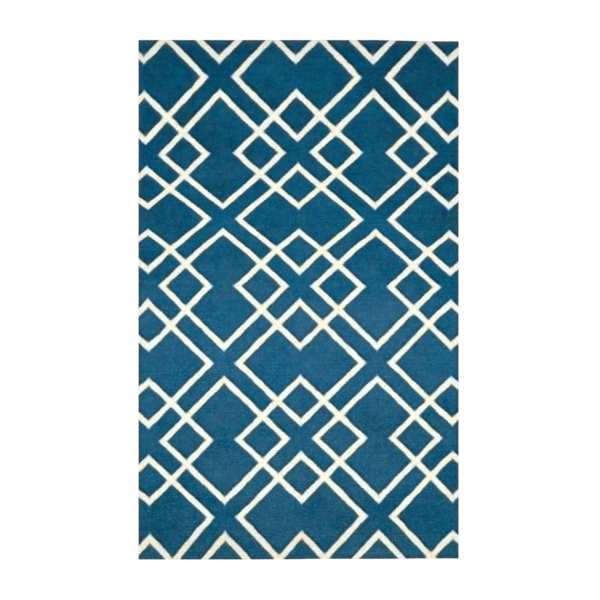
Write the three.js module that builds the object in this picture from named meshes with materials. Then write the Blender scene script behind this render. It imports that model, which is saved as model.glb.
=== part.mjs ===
// A flat-woven kilim rug, lying flat: one cloth with its selvedges and turned ends, and no fringe.
// Millimetres, +Z up. The rug lies on Z = 0, its long side runs along Y, and its middle is over the origin.

import * as THREE from "three";

// Driving dimensions
const WIDTH = 1512; // from selvedge to selvedge
const LENGTH = 2454; // along the warp, at the left selvedge, where the rug is longest
const THICKNESS = 4; // hidden warp with a beaten-down weft on both faces
const EDGE_ROUND = 1.5; // radius of the rounded selvedges and turned ends
const EDGE_STEPS = 3; // facets of that rounding
const END_STEPS = 32; // stretches along each end

const WOOL_BLUE = 0x185776;
const WOOL_ROUGHNESS = 0.92;

// How far each short end draws back from its full length, at places across the rug.
// The selvedges are straight. The ends lose a few millimetres towards the right-hand one.
const END_DRAW = [
  { across: -756, far: 0, near: 0 },
  { across: -300, far: 0, near: 0 },
  { across: -20, far: 0, near: 1 },
  { across: 60, far: 0, near: 3 },
  { across: 380, far: 0, near: 3 },
  { across: 500, far: 3, near: 4 },
  { across: 580, far: 6, near: 5 },
  { across: 756, far: 6, near: 5 },
];

// Draw-back of one end at a place across the rug, eased from one row of the table to the next
function drawBack(end, across) {
  const after = Math.max(1, END_DRAW.findIndex((row) => row.across >= across));
  const from = END_DRAW[after - 1];
  const to = END_DRAW[after];
  const share = THREE.MathUtils.smoothstep(across, from.across, to.across);
  return THREE.MathUtils.lerp(from[end], to[end], share);
}

// The rug's outline, anticlockwise from its near left corner
function rugOutline() {
  const outline = [];
  for (let step = 0; step <= END_STEPS; step += 1) {
    const across = WIDTH * (step / END_STEPS - 0.5);
    outline.push(new THREE.Vector2(across, drawBack("near", across) - LENGTH / 2));
  }
  for (let step = END_STEPS; step >= 0; step -= 1) {
    const across = WIDTH * (step / END_STEPS - 0.5);
    outline.push(new THREE.Vector2(across, LENGTH / 2 - drawBack("far", across)));
  }
  return new THREE.Shape(outline);
}

// The cloth: the outline at its full thickness, with both faces flat and the edges rounded inwards
function rugCloth() {
  const cloth = new THREE.ExtrudeGeometry(rugOutline(), {
    depth: THICKNESS - 2 * EDGE_ROUND,
    bevelEnabled: true,
    bevelThickness: EDGE_ROUND,
    bevelSize: EDGE_ROUND,
    bevelOffset: -EDGE_ROUND,
    bevelSegments: EDGE_STEPS,
  });
  cloth.translate(0, 0, EDGE_ROUND);
  return cloth;
}

const wool = new THREE.MeshStandardMaterial({
  color: WOOL_BLUE,
  roughness: WOOL_ROUGHNESS,
  metalness: 0,
});

const rug = new THREE.Mesh(rugCloth(), wool);
rug.name = "rug";

const group = new THREE.Group();
group.add(rug);

export default group;
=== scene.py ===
# %% [markdown]
# A kilim is a rug with no pile. Its wool wefts are beaten down so hard on the stretched warp that the
# warp disappears, and what shows on both faces is wool alone, in fine lengthwise ribs with one warp
# hidden in each. This lesson dresses one such rug, which lies flat on the floor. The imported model
# holds its real outline and thickness, so it is loaded first, and everything else is measured from it.

import math

import bmesh
import bpy
import numpy as np
from mathutils import Matrix, Vector


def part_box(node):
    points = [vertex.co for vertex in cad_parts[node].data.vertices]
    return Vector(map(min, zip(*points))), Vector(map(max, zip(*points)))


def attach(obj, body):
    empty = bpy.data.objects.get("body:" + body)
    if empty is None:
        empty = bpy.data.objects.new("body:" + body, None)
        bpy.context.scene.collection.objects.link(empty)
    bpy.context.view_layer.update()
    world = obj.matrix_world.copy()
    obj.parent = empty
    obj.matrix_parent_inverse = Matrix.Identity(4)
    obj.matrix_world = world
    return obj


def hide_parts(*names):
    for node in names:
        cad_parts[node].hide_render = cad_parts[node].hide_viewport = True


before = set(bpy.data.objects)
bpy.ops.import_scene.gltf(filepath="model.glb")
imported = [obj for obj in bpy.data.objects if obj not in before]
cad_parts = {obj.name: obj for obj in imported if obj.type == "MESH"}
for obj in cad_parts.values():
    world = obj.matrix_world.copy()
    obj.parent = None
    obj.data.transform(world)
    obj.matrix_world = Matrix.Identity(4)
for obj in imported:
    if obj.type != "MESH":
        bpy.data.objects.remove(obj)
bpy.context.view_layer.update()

MM = 0.001
INCH = 25.4 * MM
low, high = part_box("rug")
WIDTH = high.x - low.x
LENGTH = high.y - low.y
THICKNESS = high.z - low.z
print(f"the rug is {WIDTH:.3f} by {LENGTH:.3f} m, and {THICKNESS / MM:.1f} mm thick")

# %% [markdown]
# The rug is seen from straight above, without any perspective to speak of. A camera that stood close
# would show the far corners smaller than the middle, so this one hangs high up with a long lens.
# An orthographic camera would do as well, but the other views then need a scale of their own.

# %% The camera, high above the rug
CAMERA_HEIGHT = 12.0
VIEW_WIDTH = 2.8345  # width of the view at the height of the rug's upper face
SENSOR = 36.0
AIM = Vector((6.9 * MM, -1.0 * MM, 0.0))  # the rug lies a little off the middle of the picture

camera_data = bpy.data.cameras.new("camera")
camera_data.sensor_width = SENSOR
camera_data.lens = SENSOR * (CAMERA_HEIGHT - THICKNESS) / VIEW_WIDTH
camera_data.clip_end = 100.0
camera = bpy.data.objects.new("camera", camera_data)
camera.location = AIM + Vector((0.0, 0.0, CAMERA_HEIGHT))
bpy.context.scene.collection.objects.link(camera)
bpy.context.scene.camera = camera
print(f"the lens is {camera_data.lens:.0f} mm long")

# %% [markdown]
# The pattern is a trellis of equal diamonds. On paper its rows and columns would be even, but a
# weaver beats the weft down by hand: some rows come out shorter, a row may sag at one selvedge, and
# the whole chart drifts and spreads sideways by some warps. One short table says where the courses of
# diamonds lie on this rug, in steps of a row or less. A second one says where its columns lie. Both are
# in millimetres, and everything between their lines is interpolated. Neither was charted by hand: a
# program fitted the rows and columns to the photo, its results were rounded, and some of the numbers
# were changed afterwards by what was measured on renders.

# %% Where the rows and columns of diamonds lie
COURSES = np.array([
    # row, height at the middle, drop at the left and right selvedge, drift to the right, spread
    (-1.0, 1433, 10, 13, -8, 3),
    (0.0, 1053, 5, 13, -1, 2),
    (0.5, 870, 10, 7, 2, 1),
    (0.75, 778, 14, 9, 4, 0),
    (1.0, 696, 15, 7, 6, -2),
    (1.5, 532, 11, -3, 9, -5),
    (2.0, 381, 0, 7, 12, -5),
    (2.5, 235, -3, 12, 13, -3),
    (3.0, 64, -2, 6, 15, 0),
    (3.5, -117, 6, -3, 17, -1),
    (4.0, -298, 9, 3, 18, -2),
    (5.0, -656, 16, -2, 21, 3),
    (5.5, -839, 18, -8, 23, 3),
    (6.0, -1024, 10, 0, 24, 1),
    (7.0, -1427, 36, -24, 28, 0),
], float)
COLUMNS = np.array([
    # column, place across the rug
    (-3, -1090),
    (-2, -727),
    (-1, -371),
    (0, -10),
    (1, 354),
    (2, 704),
    (3, 1067),
], float)
SETTLING_ROUNDS = 6  # rounds of reading the sag at the row that the last round gave


def sag(side, left, right):
    """How far a course hangs below its middle at a place from -1 to 1 across the rug."""
    return (left * (side * side - side) + right * (side * side + side)) / 2


def course_height(rows, x):
    """Where rows of the chart lie along the rug, at places across it, in metres."""
    row, middle, left, right = COURSES[:, :4].T
    drop = sag(x / (WIDTH / 2), np.interp(rows, row, left), np.interp(rows, row, right))
    return (np.interp(rows, row, middle) - drop) * MM


def chart_place(x, y):
    """Column and row of the chart at places on the rug, in metres, as arrays."""
    row, middle, left, right, drift, spread = COURSES.T
    side = x / (WIDTH / 2)
    level = y / MM
    rows = np.interp(-level, -middle, row)
    for _ in range(SETTLING_ROUNDS):
        drop = sag(side, np.interp(rows, row, left), np.interp(rows, row, right))
        rows = np.interp(-(level + drop), -middle, row)
    across = x / MM - np.interp(rows, row, drift) - side * np.interp(rows, row, spread)
    return np.interp(across, COLUMNS[:, 1], COLUMNS[:, 0]), rows


first, last = COURSES[1], COURSES[-2]
print(f"a row of diamonds comes every {(first[1] - last[1]) / (last[0] - first[0]):.0f} mm")

# %% [markdown]
# The cloth could be a plain slab with the weave drawn on it, but then its edge would be a ruled line
# and its faces would shade like paper. Here the ribs are real: a grid has four columns of points to
# each warp. Its rows of points follow the courses of the pattern, as the picks of weft do, and are
# closer together at the ends, where the cloth turns over. Only the upper face is shaped. Its border is
# brought down to half the thickness, so that a mirror image closes the cloth from below, which suits
# a weave that looks alike from both sides.

# %% The grid of the loom
WARPS = 512
POINTS_PER_RIB = 4
RIB = WIDTH / WARPS
END_ROWS = np.array([0.0, 0.7, 1.8, 3.6, 12.0, 45.0]) * MM  # distances in from each end
MID_ROWS = COURSES[1:-1, 0][::-1]  # courses of the chart, from the near end to the far one
POINTS_ACROSS = WARPS * POINTS_PER_RIB + 1
line = (np.arange(POINTS_ACROSS) / (POINTS_ACROSS - 1) - 0.5) * WIDTH
print(f"{WARPS} ribs of {RIB / MM:.2f} mm, which is {INCH / RIB:.1f} warps to the inch")

# %% [markdown]
# The two short ends aren't ruled lines: towards the right-hand selvedge each draws in by a few
# millimetres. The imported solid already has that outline, so it is read from its points.

# %% How far each end draws in
WAIST = THICKNESS / 6  # the widest ring of points lies closer than this to half the thickness
SAME_PLACE = 0.1 * MM  # points that lie closer than this across the rug are one spot of an end
SPOT_DECIMALS = 5  # spots are rounded to so many decimals of a metre
points = np.array([v.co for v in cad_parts["rug"].data.vertices])
outline = points[np.abs(points[:, 2] - THICKNESS / 2) < WAIST]


def end_line(sign, across):
    """How far in the end on that side of the middle lies, at places across the rug."""
    half = outline[outline[:, 1] * sign > 0]
    spots = np.unique(np.round(half[:, 0], SPOT_DECIMALS))
    ends = [np.abs(half[np.abs(half[:, 0] - spot) < SAME_PLACE, 1]).max() for spot in spots]
    return np.interp(across, spots, LENGTH / 2 - np.array(ends))


far_line, near_line = end_line(1, line), end_line(-1, line)
far_rows = LENGTH / 2 - far_line - END_ROWS[::-1, None]
near_rows = near_line - LENGTH / 2 + END_ROWS[:, None]
mid_rows = course_height(MID_ROWS[:, None], line[None, :])
ROWS_OF_POINTS = np.vstack([near_rows, mid_rows, far_rows])
print(f"{len(ROWS_OF_POINTS)} rows of {POINTS_ACROSS} points")

# %% [markdown]
# A rib is round on top, and falls to a narrow valley beside the next one. No two are quite alike:
# each has its own height, and it swells and thins a little along its length as the yarn does. The
# heights come from a seeded generator, so the rug is the same on every run. The outermost warps are
# doubled in the selvedge, so their ribs are fuller.

# %% How high the cloth stands at a place
RIB_DEPTH = 0.5 * MM  # from the top of a rib down to its valley
RIB_FULLNESS = 0.6  # under 1 makes the tops broad and the valleys narrow
RIB_UNEVEN = 0.25  # share by which the lowest rib is lower than the highest
WAVE_UNEVEN = 0.15  # share by which a rib swells and thins along its length
WAVE_LENGTHS = np.array([1.9, 1.3, 0.8])  # metres from one swelling to the next
SELVEDGE_RIBS = 4
EDGE_ROUND = 2.3 * MM  # how far in the rounding of the border reaches
SEED = 7
dice = np.random.default_rng(SEED)
rib_height = 1 - RIB_UNEVEN * dice.random(WARPS)
rib_height[:SELVEDGE_RIBS] = rib_height[-SELVEDGE_RIBS:] = 1.0
rib_phase = dice.random((WARPS, 3)) * math.tau


def rounded(distance):
    """Share of the full half thickness at a distance in from the border of the cloth."""
    inward = np.clip(distance / EDGE_ROUND, 0, 1)
    return np.sqrt(1 - (1 - inward) ** 2)


def rib_shape(x, y):
    """Height of the ribs over their valleys, from 0 to about 1."""
    warp = np.clip((x + WIDTH / 2) / RIB, 0, WARPS)
    number = np.minimum(warp.astype(int), WARPS - 1)
    arch = np.abs(np.sin(math.pi * (warp - number))) ** RIB_FULLNESS
    waves = np.sin(y[:, None] / WAVE_LENGTHS * math.tau + rib_phase[number]).mean(1)
    return arch * (rib_height[number] - WAVE_UNEVEN * (0.5 + 0.5 * waves))


def to_border(x, y):
    """Distance from a place on the rug to its nearest selvedge or end."""
    end = np.where(y > 0, np.interp(x, line, far_line), np.interp(x, line, near_line))
    return np.minimum(WIDTH / 2 - np.abs(x), LENGTH / 2 - end - np.abs(y))


# %% [markdown]
# Now the grid can be moved into place, point by point. Then the mirror operator makes the lower face
# and joins the two along the border, where their points meet.

# %% The upper face, and its mirror image below
SAME_POINT = 0.01 * MM  # two points of the border that lie closer than this are joined
cloth = bmesh.new()
last_row = len(ROWS_OF_POINTS) - 1
# a square from -0.5 to 0.5, whose points only tell which column and row they are
bmesh.ops.create_grid(cloth, x_segments=POINTS_ACROSS - 1, y_segments=last_row, size=0.5)
grid = np.array([v.co for v in cloth.verts])
across = np.round((grid[:, 0] + 0.5) * (POINTS_ACROSS - 1)).astype(int)
along = np.round((grid[:, 1] + 0.5) * last_row).astype(int)
x, y = line[across], ROWS_OF_POINTS[along, across]
z = (THICKNESS / 2 - RIB_DEPTH * (1 - rib_shape(x, y))) * rounded(to_border(x, y))
for vertex, place in zip(cloth.verts, np.column_stack([x, y, z]).tolist()):
    vertex.co = place
skin = cloth.verts[:] + cloth.edges[:] + cloth.faces[:]
bmesh.ops.mirror(cloth, geom=skin, matrix=Matrix.Identity(4), merge_dist=SAME_POINT, axis="Z")
bmesh.ops.translate(cloth, verts=cloth.verts[:], vec=(0, 0, THICKNESS / 2))
bmesh.ops.recalc_face_normals(cloth, faces=cloth.faces[:])
open_edges = sum(not edge.is_manifold for edge in cloth.edges)
print(f"{2 * len(cloth.faces)} triangles, {open_edges} open edges")

mesh = bpy.data.meshes.new("kilim")
cloth.to_mesh(mesh)
cloth.free()
mesh.shade_smooth()
kilim = bpy.data.objects.new("kilim", mesh)
bpy.context.scene.collection.objects.link(kilim)

# %% [markdown]
# Three flat maps go with the mesh. The chart map holds the column and row of diamonds at each point,
# so the drawing follows the uneven courses. The loom map counts warps and stitches, so that the
# weave lands on the ribs. The third one is the plain outline, for whoever bakes the rug later. Both
# faces share them, because a flat weave shows the same drawing on its back.

# %% The maps of the cloth
STITCHES_PER_ROW = 190  # stitches of one rib between two rows of diamonds

corner_vertex = np.empty(len(mesh.loops), np.int32)
mesh.loops.foreach_get("vertex_index", corner_vertex)
places = np.empty(len(mesh.vertices) * 3, np.float32)
mesh.vertices.foreach_get("co", places)
places = places.reshape(-1, 3).astype(float)
columns, rows = chart_place(places[:, 0], places[:, 1])


def flat_map(name, across, along):
    """A map of the mesh from one pair of numbers for each vertex."""
    pairs = np.column_stack([across, along])[corner_vertex].astype(np.float32)
    mesh.uv_layers.new(name=name).data.foreach_set("uv", pairs.ravel())


flat_map("chart", columns, rows)
flat_map("loom", (places[:, 0] + WIDTH / 2) / RIB, rows * STITCHES_PER_ROW)
flat_map("OFBake", places[:, 0] / WIDTH + 0.5, places[:, 1] / LENGTH + 0.5)
print("maps:", [layer.name for layer in mesh.uv_layers])

# %% [markdown]
# The border of the cloth looks darker than its middle, so the material needs to know how far away it
# is. That is one number for each point, and goes into an attribute of the mesh.

# %% The distance to the border
border = mesh.attributes.new("border", "FLOAT", "POINT")
distances = to_border(places[:, 0], places[:, 1]) / MM
border.data.foreach_set("value", distances.astype(np.float32))
print(f"the middle of the rug is {distances.max():.0f} mm from its border")

# %% [markdown]
# The wool's looks are a node material. A few short helpers keep it readable: they add a node, do a
# sum, mix two colours, or carry a value from one range to another.

# %% Helpers for node trees
MIX_SHARE, MIX_FIRST, MIX_SECOND, MIX_RESULT = 0, 6, 7, 2  # a Mix node's sockets for colours


def add(tree, kind, **settings):
    """A new node of this kind, with its settings."""
    node = tree.nodes.new("ShaderNode" + kind)
    for name, value in settings.items():
        setattr(node, name, value)
    return node


def feed(tree, socket, value):
    """Joins a socket to another node's output, or sets it to a plain value."""
    if isinstance(value, bpy.types.NodeSocket):
        tree.links.new(value, socket)
    else:
        socket.default_value = value


def calc(tree, operation, *values):
    """The result of a Math node."""
    node = add(tree, "Math", operation=operation)
    for socket, value in zip(node.inputs, values):
        feed(tree, socket, value)
    return node.outputs[0]


def mixed(tree, share, first, second, how="MIX"):
    """Two colours mixed."""
    node = add(tree, "Mix", data_type="RGBA", blend_type=how, clamp_factor=False)
    node.clamp_result = True
    feed(tree, node.inputs[MIX_SHARE], share)
    feed(tree, node.inputs[MIX_FIRST], first)
    feed(tree, node.inputs[MIX_SECOND], second)
    return node.outputs[MIX_RESULT]


def ramp(tree, value, start, end, low=0.0, high=1.0, kind="SMOOTHSTEP"):
    """A value carried from one range to another, and held at both ends."""
    node = add(tree, "MapRange", interpolation_type=kind)
    for socket, number in zip(node.inputs, (value, start, end, low, high)):
        feed(tree, socket, number)
    return node.outputs[0]


# %% [markdown]
# The trellis is three sets of equal diamonds, each set shifted by half a repeat against the others.
# Ping-pong folds the endless plane back onto one quarter of a diamond, where the distance to its
# side is a plain sum. A node group works out, in millimetres, how far it is to the edge of the
# nearest ivory band, below zero inside it, and how far to the second nearest. Where both are small,
# two bands cross.
#
# The points of a diamond need care, as a band ends in a sharp tip on the outside there and holds a
# corner of blue on the inside. The group's third output is above zero beyond a tip, and below zero
# in such a corner. Two inputs say how far the points at the sides and those towards the two ends fall
# short. The side ones are also a little blunt, since a tip can't be narrower than a stitch is long.
# Where two bands cross, the corners between them are filled a little, as they are on the loom.

# %% The trellis as a node group
UNIT = 360.5  # millimetres of rug to a column
HALF_ACROSS = 0.807  # from a diamond's middle to the middle of its band, in columns
HALF_ALONG = 0.793  # the same along the rug, in rows
BAND = 0.099  # width of a band along a diagonal, in columns
POINT = 0.055  # how far the two sides of a point reach into each other, in columns
BLUNT = 0.0080  # how far from the row of a side point its tip is cut off, in rows
FILLET = 2.2  # millimetres by which the corners between two crossing bands are filled
FILLET_SPAN = (1.0, 10.0)  # millimetres from the second band between which that ends
TIP_REACH = 0.17  # how far from its tip a point is drawn in, in columns


def trellis_group():
    """A node group from column and row to the distances of the two nearest bands."""
    tree = bpy.data.node_groups.new("trellis", "ShaderNodeTree")
    for name in ("Column", "Row", "Side", "End"):
        tree.interface.new_socket(name, in_out="INPUT", socket_type="NodeSocketFloat")
    for name in ("Nearest", "Second", "Point"):
        tree.interface.new_socket(name, in_out="OUTPUT", socket_type="NodeSocketFloat")
    inside = tree.nodes.new("NodeGroupInput")
    outside = tree.nodes.new("NodeGroupOutput")
    column, row = inside.outputs["Column"], inside.outputs["Row"]
    side_short, end_short = inside.outputs["Side"], inside.outputs["End"]
    from_even_row = calc(tree, "PINGPONG", row, 1.0)
    from_odd_row = calc(tree, "SUBTRACT", 1.0, from_even_row)
    from_even_column = calc(tree, "PINGPONG", column, 1.0)
    from_column = calc(tree, "PINGPONG", column, 0.5)
    from_between = calc(tree, "SUBTRACT", 1.0, from_column)
    square_on = UNIT / math.sqrt(2)  # the bands run at about 45 degrees

    points = []

    def band_distance(across, along):
        """Distance to the edge of one set's band."""
        along = calc(tree, "MAXIMUM", along, BLUNT)
        reach = calc(tree, "MULTIPLY_ADD", along, HALF_ACROSS / HALF_ALONG, across)
        for distance, short in ((along, side_short), (across, end_short)):
            at_tip = ramp(tree, distance, 0.0, TIP_REACH, 1.0, 0.0)
            reach = calc(tree, "MULTIPLY_ADD", at_tip, short, reach)
        beyond = calc(tree, "SUBTRACT", reach, HALF_ACROSS)
        away = calc(tree, "ABSOLUTE", beyond)
        fold = calc(tree, "ABSOLUTE", calc(tree, "MINIMUM", across, along))
        near = ramp(tree, fold, 0.0, POINT, 1.0, 0.0)
        close = ramp(tree, away, BAND / 2, 3 * POINT, 1.0, 0.0)
        side = ramp(tree, beyond, -BAND / 2, BAND / 2, -1.0, 1.0, kind="LINEAR")
        points.append(calc(tree, "MULTIPLY", calc(tree, "MULTIPLY", near, close), side))
        return calc(tree, "MULTIPLY", calc(tree, "SUBTRACT", away, BAND / 2), square_on)

    first = band_distance(from_even_column, from_even_row)
    second = band_distance(from_column, from_odd_row)
    third = band_distance(from_between, from_odd_row)
    lower = calc(tree, "MINIMUM", first, second)
    upper = calc(tree, "MAXIMUM", first, second)
    middle = calc(tree, "MAXIMUM", lower, calc(tree, "MINIMUM", upper, third))
    fillet = ramp(tree, middle, *FILLET_SPAN, FILLET, 0.0)
    nearest = calc(tree, "SUBTRACT", calc(tree, "MINIMUM", lower, third), fillet)
    feed(tree, outside.inputs["Nearest"], nearest)
    feed(tree, outside.inputs["Second"], middle)
    feed(tree, outside.inputs["Point"], calc(tree, "ADD", calc(tree, "ADD", *points[:2]), points[2]))
    return tree


trellis = trellis_group()
print(f"bands are {BAND * UNIT / math.sqrt(2):.0f} mm wide")

# %% [markdown]
# On a loom a colour can only change between one warp and the next, and between one pick of weft and
# the next, so a slanting line is really a stair of tiny steps. The stitches of neighbouring warps
# are half a stitch apart, like bricks. The next cell finds the middle of the stitch that a point lies
# in. The trellis is then asked about that middle, and a whole stitch takes one colour.

# %% The stitch that a point lies in
wool = bpy.data.materials.new("woven_wool")
wool.use_nodes = True
nodes = wool.node_tree
nodes.nodes.clear()


def map_parts(name):
    """The two numbers of one of the mesh's maps."""
    source = add(nodes, "UVMap", uv_map=name)
    parts = add(nodes, "SeparateXYZ")
    feed(nodes, parts.inputs[0], source.outputs[0])
    return parts.outputs[0], parts.outputs[1]


column, row = map_parts("chart")
warp, stitch = map_parts("loom")
rib_number = calc(nodes, "FLOOR", warp)
rib_share = calc(nodes, "FRACT", warp)
brick = calc(nodes, "MULTIPLY", calc(nodes, "MODULO", rib_number, 2.0), 0.5)
shifted = calc(nodes, "ADD", stitch, brick)
stitch_number = calc(nodes, "FLOOR", shifted)
stitch_share = calc(nodes, "FRACT", shifted)
stitch_id = add(nodes, "CombineXYZ")
feed(nodes, stitch_id.inputs[0], rib_number)
feed(nodes, stitch_id.inputs[1], stitch_number)
chance = add(nodes, "TexWhiteNoise", noise_dimensions="2D")
feed(nodes, chance.inputs["Vector"], stitch_id.outputs[0])
luck = chance.outputs["Value"]  # a number of its own for each stitch, from 0 to 1
print(f"a stitch is {RIB / MM:.1f} mm wide and about {UNIT / STITCHES_PER_ROW:.1f} mm long")

# %% [markdown]
# Everything that a hand makes varies softly from place to place. Noise does the same in a material,
# and it is read at the object's own coordinates here, so that its blotches can be given in metres.

# %% Soft noise
spot = add(nodes, "TexCoord").outputs["Object"]


def soft_noise(across, along, detail=1.0, rough=0.5):
    """Soft noise around zero, mostly within 0.25, with blotches of this size in metres."""
    size = add(nodes, "Mapping")
    feed(nodes, size.inputs["Vector"], spot)
    size.inputs["Scale"].default_value = (1 / across, 1 / along, 1 / along)
    node = add(nodes, "TexNoise")
    feed(nodes, node.inputs["Vector"], size.outputs[0])
    node.inputs["Scale"].default_value = 1.0
    node.inputs["Detail"].default_value = detail
    node.inputs["Roughness"].default_value = rough
    return calc(nodes, "SUBTRACT", node.outputs[0], 0.5)


def plus(value, other, size):
    """A value with this much of another added to it."""
    return calc(nodes, "MULTIPLY_ADD", other, size, value)


# %% [markdown]
# A weaver's habits change over the months that a rug takes. On this one the side points of the
# diamonds fall short in the rows at the far end and reach out in the others, and the points that
# face the two ends do it the other way round, slowly. In the row that the far end cuts and beside the
# selvedges, they fall short again. Three ramps along the rows and one across the columns hold that.

# %% The points of the diamonds, and the distances to the bands
SHORT_POINTS = (
    # from this row to that one, millimetres by which points of diamonds fall short at the first and last
    (2.0, 3.0, 3.5, -2.0),  # points at the sides
    (0.5, 5.0, -2.2, 2.2),  # points towards the two ends
    (-0.1, 0.1, 5.5, 0.0),  # the same, added to those before row 0
)
SELVEDGE_SHORT = 3.0  # added to the points towards the two ends beside the selvedges
SELVEDGE_SPAN = (1.5, 1.9)  # columns from the middle between which that sets in
side_short, end_short, first_short = [
    ramp(nodes, row, first, last, far / UNIT, near / UNIT) for first, last, far, near in SHORT_POINTS
]
end_short = calc(nodes, "ADD", end_short, first_short)
from_middle = calc(nodes, "ABSOLUTE", column)
end_short = plus(end_short, ramp(nodes, from_middle, *SELVEDGE_SPAN), SELVEDGE_SHORT / UNIT)


def bands_at(at_column, at_row):
    """Distances to the two nearest ivory bands and to the points of diamonds, from the node group."""
    group = nodes.nodes.new("ShaderNodeGroup")
    group.node_tree = trellis
    for name, value in (("Column", at_column), ("Row", at_row), ("Side", side_short), ("End", end_short)):
        feed(nodes, group.inputs[name], value)
    return [group.outputs[name] for name in ("Nearest", "Second", "Point")]


print(f"beside the selvedges the points fall short by {SELVEDGE_SHORT:.0f} mm more")

# %% [markdown]
# Nobody weaves a diagonal dead straight. One soft noise shifts the whole chart by about a millimetre,
# and another moves the edges of the bands by two millimetres or so to each side. On top of that,
# single stitches near the line are one too many or too few. Along the line the two wools mingle over
# a few millimetres, most of all in the corners of the bands and at their tips.

# %% Where the wool is ivory
HAND = 4.5 / UNIT  # how far the weaver's hand wanders from end to end of the noise, in columns
HAND_SIZE = 75 * MM  # length of one wander
HAND_SIZE_ALONG = 60 * MM  # the same along the rug, where a row wanders
WOBBLE = 9.5  # millimetres by which a line wanders, from end to end of the noise
WOBBLE_SIZE = 58 * MM
WOBBLE_DETAIL = 1.5
RAGGED = 4.5  # millimetres by which a stitch may miss the line
FUZZ = 3.4  # millimetres over which the two wools mingle
CORNER_FUZZ = 3.2  # how many more it takes in the corners of the bands and at their tips
CROSSING_SPAN = (22.0, 7.0)  # millimetres from the second band between which a crossing sets in
column = plus(column, soft_noise(HAND_SIZE, HAND_SIZE), HAND)
row = plus(row, soft_noise(HAND_SIZE, HAND_SIZE_ALONG), HAND)
nearest, second, point = bands_at(column, row)
crossing = ramp(nodes, second, *CROSSING_SPAN)

rib_middle = calc(nodes, "SUBTRACT", 0.5, rib_share)
stitch_middle = calc(nodes, "SUBTRACT", 0.5, stitch_share)
stitch_column = plus(column, rib_middle, RIB / MM / UNIT)
stitch_row = plus(row, stitch_middle, 1 / STITCHES_PER_ROW)
stitch_nearest = bands_at(stitch_column, stitch_row)[0]
stitch_nearest = plus(stitch_nearest, soft_noise(WOBBLE_SIZE, WOBBLE_SIZE, WOBBLE_DETAIL), WOBBLE)
stitch_nearest = plus(stitch_nearest, calc(nodes, "SUBTRACT", luck, 0.5), RAGGED)
corner = calc(nodes, "MAXIMUM", calc(nodes, "ABSOLUTE", point), crossing)
fuzz = plus(FUZZ, corner, CORNER_FUZZ)
is_ivory = ramp(nodes, stitch_nearest, calc(nodes, "MULTIPLY", fuzz, -1.0), fuzz, 1.0, 0.0)
in_corner = FUZZ + CORNER_FUZZ
print(f"the wools mingle over {2 * FUZZ:.0f} mm along a line, and over {2 * in_corner:.0f} mm in a corner")

# %% [markdown]
# Dyed wool is never one flat colour. The yarn came from several dye lots, which leaves soft bands
# across the rug, and some patches took more dye or less. Painted shade deepens the blue towards the
# far end, where the light falls off, and towards both selvedges. One number, the tone, holds all that
# and runs from a deep blue to a lighter one. A second number, the dullness, takes some of the green and
# blue out, as in a lot with a tired dye. Two tables give the lots with that painted shade, row by row,
# and the patches, and soft noise breaks up their outlines.

# %% The blue wool
DYES = (
    # tone, colour of the dye
    (0.00, (0.0000, 0.0566, 0.1137, 1.0)),
    (0.45, (0.0030, 0.0840, 0.1630, 1.0)),
    (1.00, (0.0183, 0.1090, 0.2014, 1.0)),
)
DULL = (1.0, 0.85, 0.79, 1.0)  # what is left of the colour at full dullness
# the tone holds the dye lots, and painted shade that deepens it towards the far end
LOTS_AND_LIGHT_FALLOFF = (
    # row of diamonds, tone there, dullness there
    (-0.6, 0.04, 0.00),
    (0.4, 0.29, 0.12),
    (1.0, 0.36, 0.08),
    (1.7, 0.43, 0.00),
    (2.3, 0.52, 0.00),
    (3.0, 0.66, 0.00),
    (3.6, 0.90, 0.00),
    (4.2, 0.84, 0.05),
    (4.8, 0.78, 0.33),
    (5.4, 0.81, 0.38),
    (6.0, 0.68, 0.75),
    (6.3, 0.73, 0.85),
    (6.6, 0.96, 0.40),
)
PATCHES = (
    # across and along the rug, and reach, in metres, then the tone added there
    (-0.39, 0.49, 0.15, -0.32),
    (0.41, 0.49, 0.15, -0.30),
    (-0.39, 0.28, 0.11, 0.18),
    (0.41, 0.28, 0.12, 0.28),
    (-0.66, 0.28, 0.15, -0.20),
    (0.68, 0.28, 0.14, -0.14),
    (0.69, -0.12, 0.10, -0.22),
    (0.70, 0.53, 0.10, 0.20),
    (-0.61, -0.78, 0.20, -0.18),
    (-0.65, -1.00, 0.18, -0.34),
    (0.69, -0.85, 0.10, -0.30),
    (0.69, -1.18, 0.12, 0.22),
)
PAINTED_SHADE_AT_SELVEDGE = -0.19  # tone that a selvedge lacks against the middle: painted shade, the light being brightest in the middle
TONE_NOISES = (
    # size across and along the rug, in metres, detail, roughness, then the tone from end to end
    (0.300, 0.160, 3.0, 0.6, 1.30),
    (0.042, 0.042, 2.0, 0.7, 0.85),
)


def row_curve(which):
    """A smooth curve through one column of the table of dye lots and painted shade, read at the row."""
    node = add(nodes, "FloatCurve")
    curve = node.mapping.curves[0]
    first, last = LOTS_AND_LIGHT_FALLOFF[0][0], LOTS_AND_LIGHT_FALLOFF[-1][0]
    for entry in LOTS_AND_LIGHT_FALLOFF[1:-1]:
        curve.points.new((entry[0] - first) / (last - first), entry[which])
    curve.points[0].location = (0.0, LOTS_AND_LIGHT_FALLOFF[0][which])
    curve.points[-1].location = (1.0, LOTS_AND_LIGHT_FALLOFF[-1][which])
    node.mapping.update()
    feed(nodes, node.inputs["Value"], ramp(nodes, row, first, last, kind="LINEAR"))
    return node.outputs[0]


def nearness(across, along, reach):
    """One at a place on the upper face, and zero beyond this reach of it."""
    away = add(nodes, "VectorMath", operation="DISTANCE")
    feed(nodes, away.inputs[0], spot)
    away.inputs[1].default_value = (across, along, THICKNESS)
    return ramp(nodes, away.outputs["Value"], 0.0, reach, 1.0, 0.0)


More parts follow.
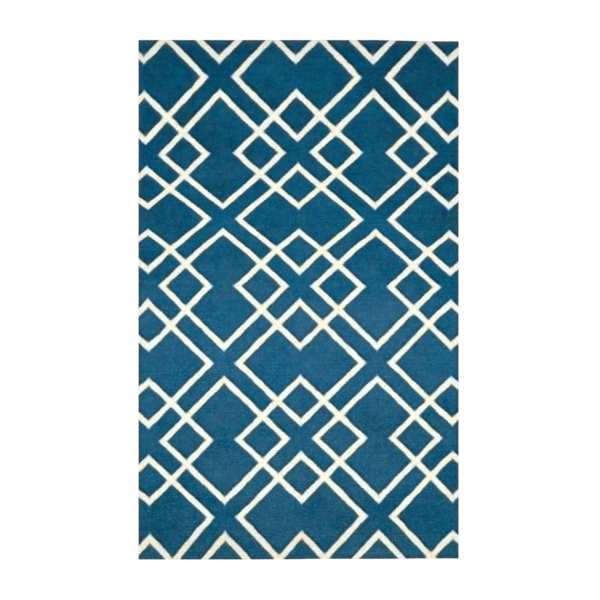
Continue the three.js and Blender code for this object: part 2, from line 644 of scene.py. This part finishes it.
place = add(nodes, "SeparateXYZ")
feed(nodes, place.inputs[0], spot)
place_x, place_y = place.outputs[0], place.outputs[1]
aside = calc(nodes, "POWER", calc(nodes, "MULTIPLY", place_x, 2 / WIDTH), 2.0)
tone = plus(row_curve(1), aside, PAINTED_SHADE_AT_SELVEDGE)
for across, along, reach, change in PATCHES:
    tone = plus(tone, nearness(across, along, reach), change)
for across, along, detail, rough, strength in TONE_NOISES:
    tone = plus(tone, soft_noise(across, along, detail, rough), strength)
dyes = add(nodes, "ValToRGB")
for stop, (at_tone, dye) in zip(dyes.color_ramp.elements, DYES):
    stop.position, stop.color = at_tone, dye
dyes.color_ramp.elements.new(DYES[-1][0]).color = DYES[-1][1]
feed(nodes, dyes.inputs[0], tone)
blue = dyes.outputs["Color"]
blue = mixed(nodes, row_curve(2), blue, mixed(nodes, 1.0, blue, DULL, "MULTIPLY"))
print(f"{len(LOTS_AND_LIGHT_FALLOFF)} places along the rug and {len(PATCHES)} patches give the blue its tone")

# %% [markdown]
# Painted shade greys the blue along the whole border, and the blue is darker and greyer over a wider
# strip at the two ends, the far end most. This comes before the heather of the yarn, so that the
# greyed strips keep their grain.

# %% The painted shade of the border, and the greyer ends
# painted shade along the whole border
BORDER_SHADE_BLUE = (0.0180, 0.0690, 0.1040, 1.0)
BORDER_SHADE_SPAN = (2.0, 21.0)  # millimetres from the border between which that ends
BORDER_SHADE_SHARE = 0.95
END_GREY_BLUE = (0.0175, 0.0680, 0.1190, 1.0)  # at the two ends
END_GREY_SPAN = (-5.0, 48.0)  # millimetres from an end between which that ends
END_GREY_NEAR, END_GREY_FAR = 0.3, 1.0  # how much each end is greyed
END_GREY_MIDDLE = 0.1  # metres on each side of the middle in which one goes over into the other
border_mm = add(nodes, "Attribute", attribute_name="border").outputs["Fac"]
end_mm = calc(nodes, "ABSOLUTE", place_y)
end_mm = calc(nodes, "MULTIPLY", calc(nodes, "SUBTRACT", LENGTH / 2, end_mm), 1 / MM)
greyed_here = ramp(nodes, place_y, -END_GREY_MIDDLE, END_GREY_MIDDLE, END_GREY_NEAR, END_GREY_FAR)
greyed = calc(nodes, "MULTIPLY", ramp(nodes, end_mm, *END_GREY_SPAN, 1.0, 0.0), greyed_here)
blue = mixed(nodes, greyed, blue, END_GREY_BLUE)
blue = mixed(nodes, ramp(nodes, border_mm, *BORDER_SHADE_SPAN, BORDER_SHADE_SHARE, 0.0), blue, BORDER_SHADE_BLUE)
print(f"the border is worn for {BORDER_SHADE_SPAN[1]:.0f} mm, and the ends for {END_GREY_SPAN[1]:.0f} mm")

# %% [markdown]
# No two fibres take the dye alike. Close by, that shows as a fine heather of short flecks, with faint
# streaks across the rug, where one weft runs, and others along it, where one warp lies. Light fibres
# stand out more than dark ones, so the square of the noise is added to it, less the square's mean.
# From further away one sees soft mottles, some greyish and some greenish.

# %% The heather of the yarn, and its mottles
HEATHER = (0.0028, 0.0102, 0.0153)  # added in light fibres, taken away in dark ones
HEATHER_ROWS = (0.0, 4.5)  # rows of diamonds between which the heather grows stronger
HEATHER_STRENGTHS = (5.0, 10.0)  # before the first of them, and from the second on
GRAINS = (
    # size across and along the rug, in metres, then the strength in the heather
    (0.0090, 0.0092, 0.98),
    (1.6000, 0.0045, 0.50),
    (0.0045, 0.1500, 0.33),
)
GRAIN_DETAIL, GRAIN_ROUGH = 1.0, 0.8
STITCH_GRAIN = 0.5  # strength of the heather from stitch to stitch
FLECKS = 1.4  # by how much the light fibres stand out more than the dark ones
MEAN_SQUARE = 0.022  # of the heather
GREYER = (0.0040, -0.0010, -0.0128)
GREENER = (-0.0008, 0.0110, -0.0100)
MOTTLES = (
    # change of colour, size across and along the rug, in metres, detail, roughness, strength
    (GREYER, 0.050, 0.050, 4.0, 0.95, 7.0),
    (GREYER, 0.330, 0.240, 1.0, 0.50, 3.5),
    (GREENER, 0.055, 0.071, 4.0, 0.85, 4.0),
    (GREENER, 0.027, 0.027, 0.0, 0.50, 2.0),
)


def mottled(wool, change, strength, noise):
    """A wool's colour with a small change added where the noise is up and taken away where it is down."""
    node = add(nodes, "VectorMath", operation="MULTIPLY_ADD")
    for socket, value in zip(node.inputs, (calc(nodes, "MULTIPLY", noise, strength), change, wool)):
        feed(nodes, socket, value)
    return node.outputs[0]


def with_mottles(wool, mottles):
    """A wool's colour with each line of a table of mottles added to it."""
    for change, across, along, detail, rough, strength in mottles:
        wool = mottled(wool, change, strength, soft_noise(across, along, detail, rough))
    return wool


heather = calc(nodes, "MULTIPLY", calc(nodes, "SUBTRACT", luck, 0.5), STITCH_GRAIN)
for across, along, strength in GRAINS:
    heather = plus(heather, soft_noise(across, along, GRAIN_DETAIL, GRAIN_ROUGH), strength)
squared = calc(nodes, "MULTIPLY", heather, heather)
heather = plus(heather, calc(nodes, "SUBTRACT", squared, MEAN_SQUARE), FLECKS)
blue = mottled(blue, HEATHER, ramp(nodes, row, *HEATHER_ROWS, *HEATHER_STRENGTHS), heather)
blue = with_mottles(blue, MOTTLES)
print(f"{len(GRAINS)} grains make the heather, and {len(MOTTLES)} mottles lie over it")

# %% [markdown]
# Where two wools meet, the weave leaves a fine slit, and its shade, painted into the colour, greys the
# blue beside every ivory band. Over the last two centimetres, such a rim takes away some of the green
# and blue and adds a little red. The corners of the bands are the greyest, from more painted shade and
# from ivory fibres mingled in. The bands stand a trifle proud, so painted shade makes a rim darker on
# their far side than on their near one. A second look at the trellis, a step further away and half a
# step to the right, tells the two sides apart.

# %% The rims of the blue, and their painted shade
RIM_SHADE_LEFT = (1.00, 0.71, 0.50, 1.0)  # what a rim's painted shade leaves of the colour, and what it adds to it
RIM_SHADE_ADDED = (0.0135, 0.0, 0.0)
CORNER_SHADE_AND_MINGLE = (0.0340, 0.0760, 0.0900, 1.0)  # painted shade and mingled ivory in the corners of the bands
RIM_SPAN = (3.0, 23.0)  # millimetres from a band between which the rim ends
TIP_FREE = 0.6  # beyond a tip, how high the third output of the trellis is where no rim is left
LOOK_ASIDE = 2.0  # millimetres to the far end at which the distance is read again
FAR_SIDE_SHADE = (-0.0075, -0.0155, -0.0215)  # painted shade, added to a rim on the far side of a band
rim = ramp(nodes, nearest, *RIM_SPAN, 1.0, 0.0)
rim = calc(nodes, "MULTIPLY", rim, ramp(nodes, point, 0.0, TIP_FREE, 1.0, 0.0))
blue = mixed(nodes, rim, blue, RIM_SHADE_LEFT, "MULTIPLY")
blue = mottled(blue, RIM_SHADE_ADDED, 1.0, rim)
inner_corner = ramp(nodes, point, 0.0, -1.0)
blue = mixed(nodes, calc(nodes, "MAXIMUM", inner_corner, crossing), blue, CORNER_SHADE_AND_MINGLE)
step = LOOK_ASIDE / UNIT
stepped = bands_at(calc(nodes, "ADD", column, step / 2), calc(nodes, "SUBTRACT", row, step))[0]
shade_facing = calc(nodes, "DIVIDE", calc(nodes, "SUBTRACT", stepped, nearest), LOOK_ASIDE)
blue = mottled(blue, FAR_SIDE_SHADE, rim, shade_facing)
print(f"a rim is {RIM_SPAN[1]:.0f} mm wide")

# %% [markdown]
# The ivory is undyed wool. It is creamy in the thick of a band and more so where two bands cross. Its
# edges are cooler, where loose blue fibres have worked their way in, and the tips of the diamonds are
# the coolest. The corners on the inside of a point are as creamy as a crossing.

# %% The ivory wool
IVORY = (0.775, 0.795, 0.700, 1.0)
IVORY_EDGE = (0.740, 0.815, 0.785, 1.0)
IVORY_CROSSING = (0.845, 0.803, 0.652, 1.0)
IVORY_TIP = (0.620, 0.800, 0.880, 1.0)
EDGE_SPAN = (-10.0, -2.0)  # millimetres from the line, inside a band, between which its edge sets in
CREAMY_SPAN = (8.0, -5.0)  # millimetres from the second band between which a crossing turns creamy
cool = ramp(nodes, nearest, *EDGE_SPAN)
ivory = mixed(nodes, cool, IVORY, IVORY_EDGE)
ivory = mixed(nodes, ramp(nodes, second, *CREAMY_SPAN), ivory, IVORY_CROSSING)
ivory = mixed(nodes, inner_corner, ivory, IVORY_CROSSING)
ivory = mixed(nodes, ramp(nodes, point, 0.0, 1.0), ivory, IVORY_TIP)
print(f"the cooler edge of a band sets in {-EDGE_SPAN[0]:.0f} mm inside it")

# %% [markdown]
# The ivory is darker at the two ends, from soil and from painted shade where the light falls off, the
# near end most of all, less so to its right. Along the border, painted shade darkens it. Both multiply
# the colour.

# %% Soil and painted shade on the ivory
FAR_SOIL_AND_SHADE = (0.920, 0.925, 0.932, 1.0)  # what is left of the colour
NEAR_SOIL_AND_SHADE = (0.940, 0.900, 0.865, 1.0)
# painted shade along the border
EDGE_PAINTED_SHADE = (0.990, 0.955, 0.945, 1.0)
FAR_SPAN = (1.02, 1.22)  # metres along the rug between which the soil and painted shade set in
NEAR_SPAN = (-1.02, -1.15)
NEAR_ASIDE = (0.0, 0.35)  # metres across the rug between which the near end's soil and painted shade lessen
NEAR_SHARES = (1.0, 0.55)  # how strong it is before and after that
EDGE_SHADE_SPAN = (18.0, 45.0)  # millimetres from the border between which its painted shade ends
ivory = mixed(nodes, ramp(nodes, place_y, *FAR_SPAN), ivory, FAR_SOIL_AND_SHADE, "MULTIPLY")
soiled_and_shaded = ramp(nodes, place_y, *NEAR_SPAN)
soiled_and_shaded = calc(nodes, "MULTIPLY", soiled_and_shaded, ramp(nodes, place_x, *NEAR_ASIDE, *NEAR_SHARES))
ivory = mixed(nodes, soiled_and_shaded, ivory, NEAR_SOIL_AND_SHADE, "MULTIPLY")
edge_shade = ramp(nodes, border_mm, *EDGE_SHADE_SPAN, 1.0, 0.0)
edge_shade = calc(nodes, "MULTIPLY", edge_shade, calc(nodes, "SUBTRACT", 1.0, soiled_and_shaded))
ivory = mixed(nodes, edge_shade, ivory, EDGE_PAINTED_SHADE, "MULTIPLY")
print(f"the last {(LENGTH / 2 - FAR_SPAN[0]) / MM:.0f} mm of each end are soiled")

# %% [markdown]
# No two fleeces are of one white, so the ivory wanders between creamy and clear, and between pinkish
# and greenish. It has the heather of the yarn, and some stitches are lighter or darker than the rest.
# Last, blue and ivory are put together, and where they meet, loose fibres of both lie over the line.

# %% The fleeces, and both wools together
CREAMIER = (0.0300, -0.0120, -0.0620)
PINKER = (0.0340, 0.0100, 0.0140)
FLEECES = (
    # change of colour, size across and along the rug, in metres, detail, roughness, strength
    (CREAMIER, 0.074, 0.058, 4.0, 0.85, 8.5),
    (PINKER, 0.052, 0.066, 4.0, 0.85, 6.6),
)
LIGHTER = (0.40, 0.40, 0.38)
LIGHTER_YARN, LIGHTER_STITCH = 0.55, 0.3  # how strongly the heather shows, and the single stitches
MINGLED = (0.0050, 0.0450, 0.0490)  # added along a line, where fibres of both wools lie
MINGLED_SPAN = (1.0, 8.0)  # millimetres from the line between which they end
CROSSED_SPAN = (3.0, 16.0)  # millimetres from the second band between which they set in again
CORNER_FREE = -0.6  # in a corner, how low the third output of the trellis is where none are left
ivory = with_mottles(ivory, FLEECES)
ivory = mottled(ivory, LIGHTER, LIGHTER_YARN, heather)
ivory = mottled(ivory, LIGHTER, LIGHTER_STITCH, calc(nodes, "SUBTRACT", luck, 0.5))
colour = mixed(nodes, is_ivory, blue, ivory)
at_line = ramp(nodes, calc(nodes, "ABSOLUTE", nearest), *MINGLED_SPAN, 1.0, 0.0)
at_line = calc(nodes, "MULTIPLY", at_line, ramp(nodes, second, *CROSSED_SPAN))
at_line = calc(nodes, "MULTIPLY", at_line, ramp(nodes, point, 0.0, CORNER_FREE, 1.0, 0.0))
colour = mottled(colour, MINGLED, 1.0, at_line)
print(f"fibres of both wools lie up to {MINGLED_SPAN[1]:.0f} mm from a line")

# %% [markdown]
# Light hardly reaches the valleys between ribs and the pinch at each end of a stitch. The mesh has
# the valleys, and the material darkens them a little more and adds the rounding of the stitches.

# %% Stitches and fibres
VALLEY_SHADE = 0.78
VALLEY_END = 0.8  # height of a stitch from which on it isn't shaded
STITCH_FULLNESS = 0.5  # under 1 makes the tops broad
STITCH_RELIEF = 0.35 * MM
FIBRE_SIZE = (1.2 * MM, 0.4 * MM)  # across and along the rug
FIBRE_DETAIL = 3.0
FIBRE_RELIEF = 0.4  # height of the fibres, in heights of a stitch
rib_arch = calc(nodes, "SINE", calc(nodes, "MULTIPLY", rib_share, math.pi))
stitch_arch = calc(nodes, "SINE", calc(nodes, "MULTIPLY", stitch_share, math.pi))
crown = calc(nodes, "POWER", calc(nodes, "MULTIPLY", rib_arch, stitch_arch), STITCH_FULLNESS)
shade = ramp(nodes, crown, 0.0, VALLEY_END, VALLEY_SHADE, 1.0)
colour = mixed(nodes, 1.0, colour, shade, "MULTIPLY")
fibres = soft_noise(*FIBRE_SIZE, FIBRE_DETAIL)
bump = add(nodes, "Bump")
bump.inputs["Strength"].default_value = 1.0
bump.inputs["Distance"].default_value = STITCH_RELIEF
feed(nodes, bump.inputs["Height"], plus(crown, fibres, FIBRE_RELIEF))
print(f"stitches stand {STITCH_RELIEF / MM:.2f} mm proud")

# %% [markdown]
# Wool scatters nearly all light evenly. Its gloss is so slight that the shader's specular level is
# almost nothing, or the deep blue would turn grey. A touch of sheen stands for the loose fibres.

# %% The wool's shader
DRY = (0.86, 0.96)  # roughness of the least and the most dry stitches
GLOSS = 0.01
SHEEN = 0.02
SHEEN_TINT = (0.5, 0.75, 1.0, 1.0)
SHEEN_ROUGHNESS = 0.6
shader = add(nodes, "BsdfPrincipled")
feed(nodes, shader.inputs["Base Color"], colour)
feed(nodes, shader.inputs["Roughness"], ramp(nodes, luck, 0.0, 1.0, *DRY))
feed(nodes, shader.inputs["Normal"], bump.outputs[0])
shader.inputs["Specular IOR Level"].default_value = GLOSS
shader.inputs["Sheen Weight"].default_value = SHEEN
shader.inputs["Sheen Tint"].default_value = SHEEN_TINT
shader.inputs["Sheen Roughness"].default_value = SHEEN_ROUGHNESS
output = add(nodes, "OutputMaterial")
feed(nodes, output.inputs["Surface"], shader.outputs[0])
kilim.data.materials.append(wool)
print(f"the wool's material has {len(nodes.nodes)} nodes")

# %% [markdown]
# The floor is a plain white one, so wide that its far edge can't be told from the pale background.

# %% The floor
FLOOR_WIDTH = 60.0
FLOOR_GAP = 0.2 * MM
FLOOR_WHITE = 0.86
plane = bmesh.new()
bmesh.ops.create_grid(plane, x_segments=1, y_segments=1, size=FLOOR_WIDTH / 2)
bmesh.ops.translate(plane, verts=plane.verts[:], vec=(0, 0, -FLOOR_GAP))
floor_mesh = bpy.data.meshes.new("floor")
plane.to_mesh(floor_mesh)
plane.free()
floor = bpy.data.objects.new("floor", floor_mesh)
bpy.context.scene.collection.objects.link(floor)
paint = bpy.data.materials.new("floor_paint")
paint.use_nodes = True
paint_shader = paint.node_tree.nodes["Principled BSDF"]
paint_shader.inputs["Base Color"].default_value = (FLOOR_WHITE, FLOOR_WHITE, FLOOR_WHITE, 1.0)
paint_shader.inputs["Roughness"].default_value = 1.0
paint_shader.inputs["Specular IOR Level"].default_value = 0.0
floor.data.materials.append(paint)
print(f"a floor of {FLOOR_WIDTH:.0f} m")

# %% [markdown]
# The light is that of a bright tent: even from all sides, with one large soft box above. Even light
# alone would make the ribs look flat, and one hard lamp would give the rug a dark shadow line.

# %% The light
TENT = 1.0
BOX_SIZE = 3.0
BOX_WATTS = 41.0
BOX_PLACE = Vector((0.0, -0.25, 3.2))

world = bpy.data.worlds.new("tent")
world.use_nodes = True
world.node_tree.nodes["Background"].inputs["Color"].default_value = (1.0, 1.0, 1.0, 1.0)
world.node_tree.nodes["Background"].inputs["Strength"].default_value = TENT
bpy.context.scene.world = world
box_data = bpy.data.lights.new("soft_box", "AREA")
box_data.shape = "DISK"
box_data.size = BOX_SIZE
box_data.energy = BOX_WATTS
soft_box = bpy.data.objects.new("soft_box", box_data)
soft_box.location = BOX_PLACE
bpy.context.scene.collection.objects.link(soft_box)
bpy.context.scene.view_settings.view_transform = "Standard"
print(f"a tent and a soft box {BOX_PLACE.z:.0f} m up")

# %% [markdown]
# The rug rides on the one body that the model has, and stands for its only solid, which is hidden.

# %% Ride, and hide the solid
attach(kilim, "root")
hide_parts("rug")
